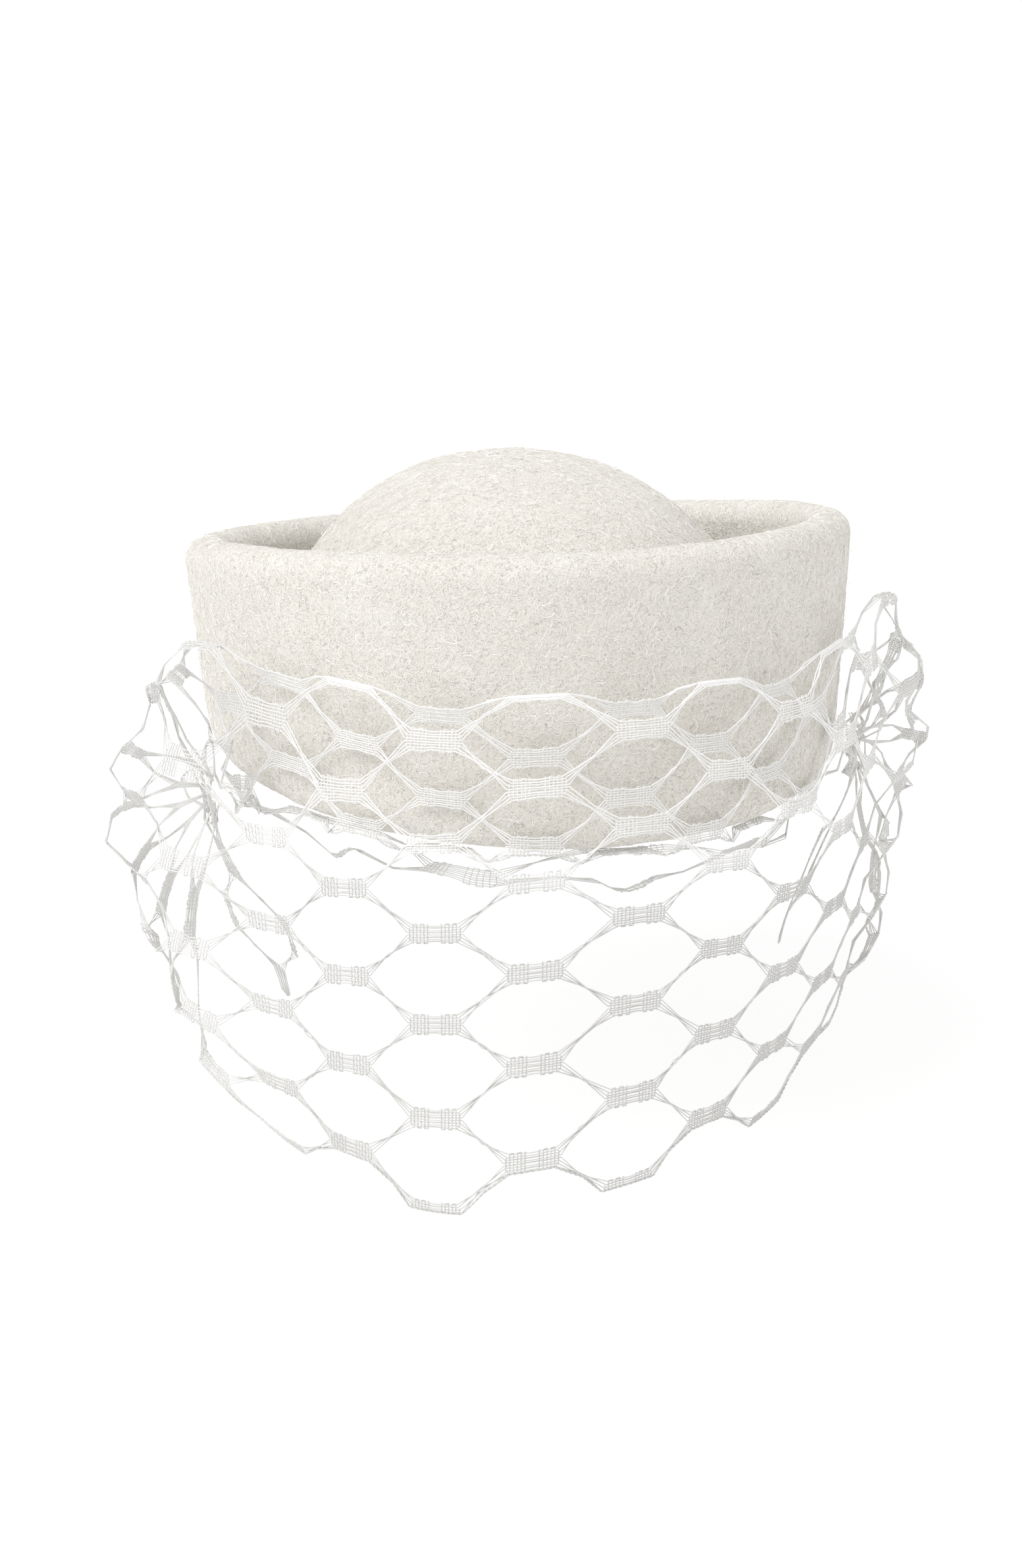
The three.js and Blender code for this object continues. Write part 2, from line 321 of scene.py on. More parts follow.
# Which way the net leaves the gathered end: place on the strip, front, out and up shares
FAN_ROWS = [
    [0, 1, 0, -0.1],
    [0.15, 0.8, 0.3, 0.5],
    [0.3125, 0.1, 0.8, 1.1],
    [0.5, -0.3, 1, 0.2],
    [0.75, -0.1, 0.8, -0.7],
    [1, 0.5, 0.4, -0.9],
]


# How far the right puff swings out: place on the strip, share of its swing
PUFF_ROWS = [[0, 1], [0.28, 1], [0.5, 1.05], [0.65, 0.84], [0.8, 0.66], [1, 0.8]]


def drape_point(s, d, turn_share, place):
    reach, height = smooth_row(drape_rows(d), place)
    fold_sag, net_sag, lean, curl = smooth_row(SIDE_ROWS, turn_share)
    loose = smoothstep(place, 0, 0.25)
    sag = mix(fold_sag, net_sag, smoothstep(place, 0.3, 0.5))
    angle = np.where(turn_share < 0, d.fan_left, d.fan_right) * turn_share
    drop = d.side_sag * sag * loose + d.hem_lean * lean * place**2 - d.hem_curl * curl * place**8
    return on_plane(angle, base_line(s, angle) + reach, height - drop)


def knot_place(s, d, side):
    """The knots on the given sides, with the ways out of the hat and along its wall to the front."""
    angle = d.gather_angle * side
    out = on_plane(angle, 1.0, 0 * angle)
    front = np.stack([out[:, 1], -out[:, 0], 0 * angle], axis=-1) * side[:, None]
    return on_plane(angle, base_line(s, angle) + d.gather_reach, -d.gather_drop + 0 * angle), out, front


def veil_point(s, d, n, along, across):
    """Points of the draped net: along and across are places on the flat strip, in metres."""
    along, across = np.broadcast_arrays(np.asarray(along, float), np.asarray(across, float))
    place = across / n.width
    side = np.where(along < 0, -1.0, 1.0)
    far = np.abs(along)
    inner = drape_point(s, d, np.clip(along / d.fan_start, -1, 1), place)
    before = drape_point(s, d, side * 0.99, place)
    start = drape_point(s, d, side, place)
    leave = start - before
    leave /= np.linalg.norm(leave, axis=-1, keepdims=True)
    knot, out, front = knot_place(s, d, side)
    fan_front, fan_out, fan_up = smooth_row(FAN_ROWS, place)
    fan = front * fan_front[:, None] + out * fan_out[:, None]
    fan[:, 2] += fan_up
    fan /= np.linalg.norm(fan, axis=-1, keepdims=True)
    end = knot + fan * d.knot_radius
    t = np.clip((far - d.fan_start) / (n.length / 2 - d.fan_start), 0, 1)[:, None]
    (right_share,) = smooth_row(PUFF_ROWS, place)
    swing = np.where(side < 0, d.swing_left, d.swing_right * right_share)[:, None]
    outer = mix(start, end, (3 - 2 * t) * t * t)
    outer = outer + leave * swing * t * (1 - t) ** 2 + fan * swing * t * t * (1 - t)
    return np.where((far <= d.fan_start)[:, None], inner, outer)


def veil_normal(s, d, n, along, across):
    step = 0.05 * MM
    a = np.clip(along, -n.length / 2 + step, n.length / 2 - step)
    b = np.clip(across, step, n.width - step)
    u = veil_point(s, d, n, a + step, b) - veil_point(s, d, n, a - step, b)
    v = veil_point(s, d, n, a, b + step) - veil_point(s, d, n, a, b - step)
    normal = np.cross(u, v)
    return normal / np.maximum(np.linalg.norm(normal, axis=-1, keepdims=True), 1e-12)


def net_surface(s, d, n, flat):
    """Places the flat rows along, across, off in space, off being the distance from the net's surface.
    The net is gathered to the knots in pleats, which fade out where it leaves the hat."""
    flat = np.asarray(flat, float)
    along, across = flat[:, 0], flat[:, 1]
    point = veil_point(s, d, n, along, across)
    t = np.clip((np.abs(along) - d.fan_start) / (n.length / 2 - d.fan_start), 0, 1)
    pleat = np.sin(across / n.width * math.tau * PLEATS + np.where(along < 0, 0.6, 2.2))
    pleat = pleat * PLEAT_DEPTH * t * (1 - t) * 4 + 0.3 * PLEAT_DEPTH * t * np.sin(along / MM / 9 + across / MM / 17)
    slow = np.sin(along / MM / 31 + across / MM / 43) + np.sin(across / MM / 27 - along / MM / 53 + 1.3)
    hang = smoothstep(across / n.width, 0.3, 0.6)
    return point + veil_normal(s, d, n, along, across) * (flat[:, 2] + pleat + slow * hang * WAVE)[:, None]


def seam_surface(s, d, n, flat):
    """Places the row of net turned under the sewn edge, which hangs crumpled below the base.
    The rows are along, across and off, with across counted from the sewn line."""
    flat = np.asarray(flat, float)
    x, part = flat[:, 0] / MM, flat[:, 1] / (n.width / ROWS)
    hung = np.clip(part / 0.7, 0, 1) - 0.5 * np.clip(part - 0.7, 0, 1)
    crumple = np.sin(x / 5.5 + 1.0) + 0.8 * np.sin(x / 3.4 + 2.6 * part)
    angle = flat[:, 0] / SEAM_RADIUS + 0.05 * hung * np.sin(x / 9 + 3 * part)
    drop = d.sewn_gap + (SEAM_DROP + SEAM_CRUMPLE * crumple) * hung
    reach = -d.sewn_inset + (3.0 * np.sin(part * 2.6 + x / 19) + 1.8 * part * np.sin(x / 5)) * MM
    point = on_plane(angle, base_line(s, angle) + reach, -drop)
    return point + on_plane(angle, 1.0, 0 * angle) * flat[:, 2:3]


def bunch_surface(s, d, n, side, flat):
    """Places the spare net gathered at a side's knot, folded up into a small rosette."""
    flat = np.asarray(flat, float)
    u, v = flat[:, 0] / (n.length / PERIODS), flat[:, 1] / (n.width / ROWS)
    knot, out, front = knot_place(s, d, np.full(len(flat), float(side)))
    petal = np.sin(u * 3.1 + 0.8 * v) * (0.35 + 0.65 * np.sin(v * math.pi))
    reach = 0.25 + 0.8 * np.sin(v * math.pi) * (0.7 + 0.3 * np.cos(u * 5.3))
    rise = np.cos(u * 3.1 + 1.9 * v) * 0.75 - 0.45 * v
    point = knot + out * (reach * BUNCH_SIZE + flat[:, 2])[:, None] + front * (petal * BUNCH_SIZE)[:, None]
    point[:, 2] += rise * BUNCH_SIZE
    return point


def tail_surface(s, d, n, side, flat):
    """Places the strip's own end, which hangs down behind the veil from a side's knot."""
    flat = np.asarray(flat, float)
    u, v = flat[:, 0] / TAIL_LENGTH, flat[:, 1] / (n.width / ROWS)
    knot, out, front = knot_place(s, d, np.full(len(flat), float(side)))
    spread = (v - 0.5) * TAIL_WIDTH * (0.12 + np.sin(np.clip(u, 0, 1) * 2.3))
    sway = 5 * MM * np.sin(u * 4.2 + side) + 8 * MM * u
    reach = 3 * MM + 4 * MM * np.sin(u * 3.0 + v * 2.5) - 16 * MM * u
    point = knot + out * (reach + flat[:, 2])[:, None] + front * (spread + sway)[:, None]
    point[:, 2] -= u * TAIL_DROP
    return point


# ---------------------------------------------------------------- making pieces


def collection():
    return bpy.context.scene.collection


def add_piece(name, mesh, material):
    piece = bpy.data.objects.new(name, mesh)
    collection().objects.link(piece)
    mesh.materials.clear()
    mesh.materials.append(material)
    mesh.shade_smooth()
    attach(piece, "root")
    return piece


def sort_by(elements, keys):
    order = sorted(range(len(keys)), key=keys.__getitem__)
    rank = {index: k for k, index in enumerate(order)}
    elements.index_update()
    elements.sort(key=lambda element: rank[element.index])
    elements.index_update()


def settle(bm):
    """Sorts vertices by place, then edges and faces by their corners. Spinning and extruding leave them in an
    order that changes from run to run, and with it the points that are found on the mesh."""
    sort_by(bm.verts, [vert.co[:] for vert in bm.verts])
    for elements in (bm.edges, bm.faces):
        sort_by(elements, [sorted(vert.index for vert in element.verts) for element in elements])


def mesh_of_lines(name, lines, radius, sides):
    """Round threads through the lines, made a mesh."""
    curve = bpy.data.curves.new(name, "CURVE")
    curve.dimensions = "3D"
    curve.resolution_u = 1
    curve.bevel_depth = radius
    curve.bevel_resolution = sides
    curve.use_fill_caps = True
    for line in lines:
        spline = curve.splines.new("POLY")
        spline.points.add(len(line) - 1)
        co = np.ones((len(line), 4))
        co[:, :3] = line
        spline.points.foreach_set("co", co.ravel())
    holder = bpy.data.objects.new(name, curve)
    collection().objects.link(holder)
    bpy.context.view_layer.update()
    found = holder.evaluated_get(bpy.context.evaluated_depsgraph_get())
    mesh = bpy.data.meshes.new_from_object(found)
    mesh.name = name
    bpy.data.objects.remove(holder)
    bpy.data.curves.remove(curve)
    return mesh


def mesh_of_ribbons(name, lines, sides):
    """Flat ribbons: each line is extruded once and its new edge is moved by the line's side vectors."""
    bm = bmesh.new()
    layer = bm.verts.layers.float_vector.new("side")
    edges = []
    for line, line_sides in zip(lines, sides):
        last = None
        for place, side in zip(line, line_sides):
            vert = bm.verts.new(place)
            vert[layer] = side
            if last is not None:
                edges.append(bm.edges.new((last, vert)))
            last = vert
    made = bmesh.ops.extrude_edge_only(bm, edges=edges)["geom"]
    for vert in made:
        if isinstance(vert, bmesh.types.BMVert):
            vert.co += vert[layer]
    settle(bm)
    mesh = bpy.data.meshes.new(name)
    bm.to_mesh(mesh)
    bm.free()
    return mesh


# ---------------------------------------------------------------- materials


def new_group(name, inputs, outputs):
    group = bpy.data.node_groups.new(name, "ShaderNodeTree")
    for label, kind, value in inputs:
        socket = group.interface.new_socket(label, in_out="INPUT", socket_type="NodeSocket" + kind)
        if value is not None:
            socket.default_value = value
    for label, kind in outputs:
        group.interface.new_socket(label, in_out="OUTPUT", socket_type="NodeSocket" + kind)
    return group, group.nodes.new("NodeGroupInput"), group.nodes.new("NodeGroupOutput")


def maths(tree, operation, a, b):
    node = tree.nodes.new("ShaderNodeMath")
    node.operation = operation
    for socket, value in zip(node.inputs, (a, b)):
        if isinstance(value, (int, float)):
            socket.default_value = value
        else:
            tree.links.new(value, socket)
    return node.outputs[0]


def noise_node(tree, place, scale, detail, kind="FBM", distortion=0.0, roughness=0.55):
    node = tree.nodes.new("ShaderNodeTexNoise")
    node.noise_type = kind
    node.normalize = True
    tree.links.new(place, node.inputs["Vector"])
    if isinstance(scale, (int, float)):
        node.inputs["Scale"].default_value = scale
    else:
        tree.links.new(scale, node.inputs["Scale"])
    node.inputs["Detail"].default_value = detail
    node.inputs["Roughness"].default_value = roughness
    node.inputs["Distortion"].default_value = distortion
    return node.outputs["Fac"]


def blend_colours(tree, factor, first, second):
    node = tree.nodes.new("ShaderNodeMix")
    node.data_type = "RGBA"
    tree.links.new(factor, node.inputs["Factor"])
    for socket, value in ((node.inputs[6], first), (node.inputs[7], second)):
        tree.links.new(value, socket)
    return node.outputs[2]


def stretch(tree, value, low, high):
    node = tree.nodes.new("ShaderNodeMapRange")
    node.inputs["From Min"].default_value = low
    node.inputs["From Max"].default_value = high
    tree.links.new(value, node.inputs["Value"])
    return node.outputs["Result"]


def matted_fibres():
    """Node group: crinkled fibres matted together, with slow mottling."""
    group, given, result = new_group(
        "matted_fibres",
        [("Place", "Vector", None), ("Colour", "Color", None), ("Shade", "Color", None), ("Size", "Float", 330.0)],
        [("Colour", "Color"), ("Height", "Float")],
    )
    place, size_in = given.outputs["Place"], given.outputs["Size"]
    fibre = noise_node(group, place, size_in, 3, "RIDGED_MULTIFRACTAL", 1.6, 0.6)
    small = noise_node(group, place, maths(group, "MULTIPLY", size_in, 2.7), 2, "RIDGED_MULTIFRACTAL", 1.1, 0.5)
    lump = noise_node(group, place, maths(group, "MULTIPLY", size_in, 0.28), 3)
    mottle = noise_node(group, place, maths(group, "MULTIPLY", size_in, 0.08), 2)
    both = maths(group, "ADD", maths(group, "MULTIPLY", fibre, 0.6), maths(group, "MULTIPLY", small, 0.4))
    height = maths(group, "ADD", both, maths(group, "MULTIPLY", lump, 0.8))
    dark = maths(group, "ADD", maths(group, "MULTIPLY", both, -0.75), maths(group, "MULTIPLY", lump, 0.35))
    dark = maths(group, "ADD", dark, maths(group, "MULTIPLY", mottle, 0.5))
    tint = blend_colours(group, stretch(group, dark, -0.16, 0.36), given.outputs["Colour"], given.outputs["Shade"])
    group.links.new(tint, result.inputs["Colour"])
    group.links.new(height, result.inputs["Height"])
    return group


def new_material(name, roughness, sheen, sheen_roughness):
    material = bpy.data.materials.new(name)
    material.use_nodes = True
    tree = material.node_tree
    shader = tree.nodes["Principled BSDF"]
    shader.inputs["Roughness"].default_value = roughness
    shader.inputs["Specular IOR Level"].default_value = 0.2
    shader.inputs["Sheen Weight"].default_value = sheen
    shader.inputs["Sheen Roughness"].default_value = sheen_roughness
    place = tree.nodes.new("ShaderNodeTexCoord").outputs["Object"]
    return material, tree, shader, place


def fibre_material(name, light, dark, size_value, bump, distance, sheen):
    material, tree, shader, place = new_material(name, 0.95, sheen, 0.45)
    fibres = tree.nodes.new("ShaderNodeGroup")
    fibres.node_tree = bpy.data.node_groups.get("matted_fibres") or matted_fibres()
    tree.links.new(place, fibres.inputs["Place"])
    fibres.inputs["Colour"].default_value = (*light, 1)
    fibres.inputs["Shade"].default_value = (*dark, 1)
    fibres.inputs["Size"].default_value = size_value
    tree.links.new(fibres.outputs["Colour"], shader.inputs["Base Color"])
    relief = tree.nodes.new("ShaderNodeBump")
    relief.inputs["Strength"].default_value = bump
    relief.inputs["Distance"].default_value = distance
    tree.links.new(fibres.outputs["Height"], relief.inputs["Height"])
    tree.links.new(relief.outputs["Normal"], shader.inputs["Normal"])
    return material


# Height and distance from the middle over which the veil comes clear of the felt, and over which its threads get
# painted shade
PAINTED_SHADE_BELOW = (0.004, -0.012)
PAINTED_SHADE_BESIDE = (0.088, 0.112)
# Share of the painted shade taken off again at the sides
SIDE_SHADE_LOSS = 0.5


def thread_material(look):
    """White thread, greyer where the veil hangs clear of the felt, and half as much so at the sides.
    Real thread has one colour: this stands in for the photo's light and is tuned to its one view."""
    material, tree, shader, place = new_material("net_thread", roughness=0.55, sheen=0.1, sheen_roughness=0.4)
    apart = tree.nodes.new("ShaderNodeSeparateXYZ")
    tree.links.new(place, apart.inputs[0])
    # Painted shade: the thread colour is blended towards the greyer hanging colour below the base in front, and half
    # as far at the sides
    below = stretch(tree, apart.outputs["Z"], *PAINTED_SHADE_BELOW)
    beside = stretch(tree, maths(tree, "ABSOLUTE", apart.outputs["X"], 0), *PAINTED_SHADE_BESIDE)
    shade_kept = maths(tree, "SUBTRACT", 1, maths(tree, "MULTIPLY", beside, SIDE_SHADE_LOSS))
    clear = maths(tree, "MULTIPLY", maths(tree, "MAXIMUM", below, beside), shade_kept)
    tone = stretch(tree, noise_node(tree, place, 90.0, 3), 0.3, 0.7)
    colours = []
    for shade in (1.0, 0.94):
        for base in (look.thread, look.thread_painted_shade):
            node = tree.nodes.new("ShaderNodeRGB")
            node.outputs[0].default_value = (*[c * shade for c in base], 1)
            colours.append(node.outputs[0])
    light = blend_colours(tree, clear, colours[0], colours[1])
    dark = blend_colours(tree, clear, colours[2], colours[3])
    tree.links.new(blend_colours(tree, tone, light, dark), shader.inputs["Base Color"])
    relief = tree.nodes.new("ShaderNodeBump")
    relief.inputs["Strength"].default_value = 0.3
    relief.inputs["Distance"].default_value = 0.05 * MM
    tree.links.new(noise_node(tree, place, 5000.0, 1), relief.inputs["Height"])
    tree.links.new(relief.outputs["Normal"], shader.inputs["Normal"])
    return material


# ---------------------------------------------------------------- felt


NAP_LAYERS = (("felt_nap_under", 11), ("felt_nap_over", 23))  # names and seeds
FIBRE_STEPS = 5
FIBRE_LENGTHS = (1.8, 4.6)  # in mm
FIBRE_REST = 0.10 * MM  # how far a fibre lies off the felt
LIFTED_SHARE = 0.12  # fibres that stand up in the middle
LIFTS = (0.05, 0.35)  # how high, as shares of their length


def felt_form(s, angle):
    """The felt's middle line with the flap's edge a little wavy, as a hand-cut edge is."""
    radius, height = felt_path(s, angle)
    edge = np.linspace(1, 0, FLAP_STEPS + 1)[:-1]
    wave = np.sin(3 * angle + 0.7) + 0.6 * np.sin(7 * angle + 2.1)
    height[: len(edge)] += edge[:, None] * wave * FLAP_WAVE
    return radius, height


class HAT_OT_felt_body(bpy.types.Operator):
    """Make the crown and the turned-up brim with its inner flap, as one blocked piece of felt"""

    bl_idname = "hat.felt_body"
    bl_label = "Felt body"

    def execute(self, context):
        s, look = sizes_of(context.scene.hat_felt), context.scene.hat_look
        points = len(felt_form(s, np.zeros(1))[0])
        bm = bmesh.new()
        # The path is spun as a flat ring whose radius counts its points, then shaped
        path = [bm.verts.new((0, -(1.0 + k), 0)) for k in range(points)]
        edges = [bm.edges.new(pair) for pair in zip(path, path[1:])]
        bmesh.ops.spin(
            bm, geom=path + edges, cent=(0, 0, 0), axis=(0, 0, 1),
            angle=math.tau, steps=TURNS, use_merge=True, use_duplicate=False,
        )
        # The spin's first and last copies are joined, as its rings are 1 apart here
        bmesh.ops.remove_doubles(bm, verts=bm.verts, dist=1e-3)
        places = np.array([v.co for v in bm.verts])
        angle = np.arctan2(places[:, 0], -places[:, 1])
        count = np.rint(np.hypot(places[:, 0], places[:, 1]) - 1).astype(int)
        radius, height = felt_form(s, angle)
        rows = np.arange(len(angle))
        shaped = on_plane(angle, radius[count, rows], height[count, rows])
        for v, co in zip(bm.verts, shaped):
            v.co = co
        # All of the dome's last ring is at its top
        bmesh.ops.remove_doubles(bm, verts=bm.verts, dist=1e-6)
        bmesh.ops.recalc_face_normals(bm, faces=bm.faces)
        bm.normal_update()
        moves = []
        for v in bm.verts:
            slow = noise.noise(v.co * 17 + Vector((3, 8, 1)))
            quick = noise.noise(v.co * 55 + Vector((7, 2, 5)))
            fine = noise.noise(v.co * 160 + Vector((1, 9, 4)))
            moves.append(v.normal * s.unevenness * (0.9 * slow + 0.45 * quick + 0.16 * fine))
        for v, move in zip(bm.verts, moves):
            v.co += move
        settle(bm)
        mesh = bpy.data.meshes.new("felt_body")
        bm.to_mesh(mesh)
        bm.free()
        material = fibre_material(
            "ivory_felt", look.felt, look.felt_shade, size_value=620.0, bump=1.0, distance=1.0 * MM, sheen=0.3
        )
        body = add_piece("felt_body", mesh, material)
        wall = body.modifiers.new("felt_thickness", "SOLIDIFY")
        wall.thickness = s.felt_wall
        wall.offset = 0
        wall.use_quality_normals = True
        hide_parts("felt_hood")
        return {"FINISHED"}


def nap_roots(s, count, chance):
    """Random points close to the felt's visible faces."""
    angle = chance.uniform(-math.pi, math.pi, count * 3)
    radius, height = felt_form(s, angle)
    last = len(radius) - 1
    row = chance.integers(0, last, len(angle))
    rows = np.arange(len(angle))
    step_r = radius[row + 1, rows] - radius[row, rows]
    step_z = height[row + 1, rows] - height[row, rows]
    long = np.hypot(step_r, step_z)
    keep_chance = long * radius[row, rows]
    keep = chance.uniform(0, np.quantile(keep_chance, 0.97), len(angle)) < keep_chance
    at = chance.uniform(0, 1, len(angle))
    r = radius[row, rows] + step_r * at
    z = height[row, rows] + step_z * at
    # The flap, the brim and the wall show the face on the path's left, the crown the other
    crown_start = len(radius) - DOME_STEPS - (HEAD_CORNER_STEPS + 1)
    outer = np.where(row < crown_start, 1.0, -1.0)
    chosen = np.flatnonzero(keep & (long > 0))[:count]
    r = r - step_z / np.maximum(long, 1e-9) * outer * s.felt_wall
    z = z + step_r / np.maximum(long, 1e-9) * outer * s.felt_wall
    return on_plane(angle, r, z)[chosen]


def on_felt(felt, places):
    """The nearest points of the finished felt, with the way out of it at each."""
    found = [felt.find_nearest(place) for place in places.tolist()]
    return np.array([near[0] for near in found]), np.array([near[1] for near in found])


def fibre_lines(felt, places, width, chance):
    """Crinkled lines that lie on the felt from each place, with the side vectors of their ribbons."""
    count = len(places)
    long = chance.uniform(*FIBRE_LENGTHS, (count, 1)) * MM
    lifted = np.where(chance.random((count, 1)) < LIFTED_SHARE, chance.uniform(*LIFTS, (count, 1)), 0.0)
    turn_by = chance.normal(size=(count, 1)) * 0.55
    tilt = chance.uniform(-0.8, 0.8, (count, 1))
    heading = chance.normal(size=(count, 3))
    points, sides = [], []
    for k in range(FIBRE_STEPS + 1):
        places, out = on_felt(felt, places)
        if k:
            heading = heading + np.cross(out, heading) * (turn_by + chance.normal(size=(count, 1)) * 0.35)
        heading = heading - out * (heading * out).sum(1, keepdims=True)
        heading /= np.linalg.norm(heading, axis=1, keepdims=True)
        across = np.cross(out, heading) * np.cos(tilt) + out * np.sin(tilt)
        wide = width * (0.4 if k in (0, FIBRE_STEPS) else 1)
        off = FIBRE_REST + lifted * long * math.sin(k / FIBRE_STEPS * 2.4)
        points.append(places + out * off - across * wide / 2)
        sides.append(across * wide)
        places = places + heading * long / FIBRE_STEPS
    return np.stack(points, axis=1), np.stack(sides, axis=1)


class HAT_OT_felt_nap(bpy.types.Operator):
    """Scatter the loose, crinkled fibres that lie on the felt and stand off its edges"""

    bl_idname = "hat.felt_nap"
    bl_label = "Felt nap"

    def execute(self, context):
        s, look = sizes_of(context.scene.hat_felt), context.scene.hat_look
        material = fibre_material(
            "felt_fibre", look.fibre_light, look.felt, size_value=60.0, bump=0.0, distance=0.1 * MM, sheen=0.0
        )
        felt = BVHTree.FromObject(bpy.data.objects["felt_body"], context.evaluated_depsgraph_get())
        for name, seed in NAP_LAYERS:
            chance = np.random.default_rng(seed)
            lines, sides = fibre_lines(felt, nap_roots(s, look.fibres, chance), look.fibre, chance)
            add_piece(name, mesh_of_ribbons(name, lines, sides), material)
        return {"FINISHED"}


# ---------------------------------------------------------------- net


NET_SEED = 5
CORD_STEP = 0.7 * MM
CORD_TWIST = 3.4 * MM  # length of one full twist
CORD_OUTSET = 0.3 * MM  # how far the cord lies outside the last thread


def thread_offset(n, thread, column):
    """Row centre and offset of a thread in the block at a column: even columns are shifted half a row."""
    shifted = thread + (GROUP // 2 if column % 2 == 0 else 0)
    centre = shifted // GROUP + (0 if column % 2 == 0 else 0.5)
    return centre * n.width / ROWS, (shifted % GROUP - (GROUP - 1) / 2) * n.pitch


def block_end(n, offset):
    """How far from a block's middle a thread leaves it: threads at its edge leave sooner."""
    widest = (GROUP - 1) / 2 * n.pitch
    return mix(n.block_tip, n.block_edge, min(abs(offset) / widest, 1))


def thread_line(n, thread, chance, first=-PERIODS, last=PERIODS):
    """One thread along the strip from one column to another, as rows along, across, off."""
    step = n.length / PERIODS / 2
    line = []
    for column in range(first, last + 1):
        centre, offset = thread_offset(n, thread, column)
        end = block_end(n, offset)
        x = column * step
        for part in (-1, -0.5, 0, 0.5, 1):
            if abs(x + part * end) <= n.length / 2:
                narrow = mix(0.9, 1.0, min(abs(part) * 2, 1))
                off = 0.10 * MM * (1 if (thread + column) % 2 else -1) * (1 - abs(part))
                line.append((x + part * end, centre + offset * narrow + chance.normal() * 0.05 * MM, off))
        if column < last:
            far_centre = thread_offset(n, thread, column + 1)[0]
            rank = thread % (GROUP // 2) - (GROUP // 2 - 1) / 2
            swapped = rank if chance.random() < 0.6 else -rank
            middle = x + step / 2 + chance.normal() * 0.35 * MM
            off = (rank % 2 - 0.5) * 0.5 * MM + chance.normal() * 0.10 * MM
            line.append((middle, (centre + far_centre) / 2 + swapped * n.pinch, off))
    return line


def pick_line(n, column, centre, end_sign, low, high):
    """The cross thread of one woven patch, to and fro over the block's threads, as rows along, across, off."""
    x = column * n.length / PERIODS / 2
    half = GROUP / 2 * n.pitch
    line = []
    for k in range(n.picks):
        out = n.patch_start + k * n.pick_pitch
        slope = (n.block_tip + 0.5 * MM - out) / (n.block_tip + 0.5 * MM - n.block_edge)
        reach = max(half * min(slope, 1), 0.5 * n.pitch)
        way = 1 if k % 2 == 0 else -1
        for j in range(7):
            t = -1 + j / 3
            across = centre + way * t * reach
            off = 0.2 * MM * (1 if (j + k) % 2 else -1) * (0 if j in (0, 6) else 1)
            if low <= across <= high:
                line.append((x + end_sign * out, across, off))
    return line


def net_lines(n):
    chance = np.random.default_rng(NET_SEED)
    threads = [thread_line(n, thread, chance) for thread in range(ROWS * GROUP)]
    picks = []
    for column in range(1 - PERIODS, PERIODS):
        even = column % 2 == 0
        for row in range(ROWS + 1 if even else ROWS):
            centre = (row if even else row + 0.5) * n.width / ROWS
            for end_sign in (-1, 1):
                line = pick_line(n, column, centre, end_sign, 0, n.width)
                if len(line) > 3:
                    picks.append(line)
    return threads, picks


def net_mesh(name, thickness, threads, picks, place):
    """One mesh of the threads and picks, each put in place by the function."""
    bm = bmesh.new()
    for lines, sides in ((threads, 1), (picks, 0)):
        mesh = mesh_of_lines(name, [place(line) for line in lines], thickness / 2, sides)
        bm.from_mesh(mesh)
        bpy.data.meshes.remove(mesh)
    bmesh.ops.remove_doubles(bm, verts=bm.verts, dist=1e-7)
    mesh = bpy.data.meshes.new(name)
    bm.to_mesh(mesh)
    bm.free()
    return mesh


class HAT_OT_veil_net(bpy.types.Operator):
    """Make the veil's threads and the cross threads of its woven blocks"""

    bl_idname = "hat.veil_net"
    bl_label = "Veil net"

    def execute(self, context):
        scene = context.scene
        s, n, d = sizes_of(scene.hat_felt), sizes_of(scene.hat_net), sizes_of(scene.hat_drape)
        mesh = net_mesh("veil_net", n.thread, *net_lines(n), lambda line: net_surface(s, d, n, line))
        net = add_piece("veil_net", mesh, thread_material(scene.hat_look))
        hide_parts("veil")
        return {"FINISHED"}


def row_of_net(n, seed, first, last):
    """The threads and woven patches of one row of net between two columns."""
    chance = np.random.default_rng(seed)
    row = n.width / ROWS
    threads = [thread_line(n, thread, chance, first, last) for thread in range(GROUP)]
    picks = []
    for column in range(first + 1, last):
        for centre in (0, row) if column % 2 == 0 else (row / 2,):
            for end_sign in (-1, 1):
                line = pick_line(n, column, centre, end_sign, 0, row)
                if len(line) > 3:
                    picks.append(line)
    return threads, picks


class HAT_OT_veil_seam(bpy.types.Operator):
    """Make the row of net turned under the sewn edge, and the spare net gathered at both knots"""

    bl_idname = "hat.veil_seam"
    bl_label = "Veil seam"

    def execute(self, context):
        scene = context.scene
        s, n, d = sizes_of(scene.hat_felt), sizes_of(scene.hat_net), sizes_of(scene.hat_drape)
        material = bpy.data.materials["net_thread"]
        made = row_of_net(n, seed=9, first=-3, last=3)
        mesh = net_mesh("veil_seam", n.loose_thread, *made, lambda line: seam_surface(s, d, n, line))
        add_piece("veil_seam", mesh, material)
        for side, word in ((-1, "left"), (1, "right")):
            for part, surface, seed in (("bunch", bunch_surface, 21), ("tail", tail_surface, 31)):
                name = f"veil_{part}_{word}"
                made = row_of_net(n, seed=seed + side, first=0, last=3)
                mesh = net_mesh(name, n.loose_thread, *made, lambda line: surface(s, d, n, side, line))
                add_piece(name, mesh, material)
        return {"FINISHED"}


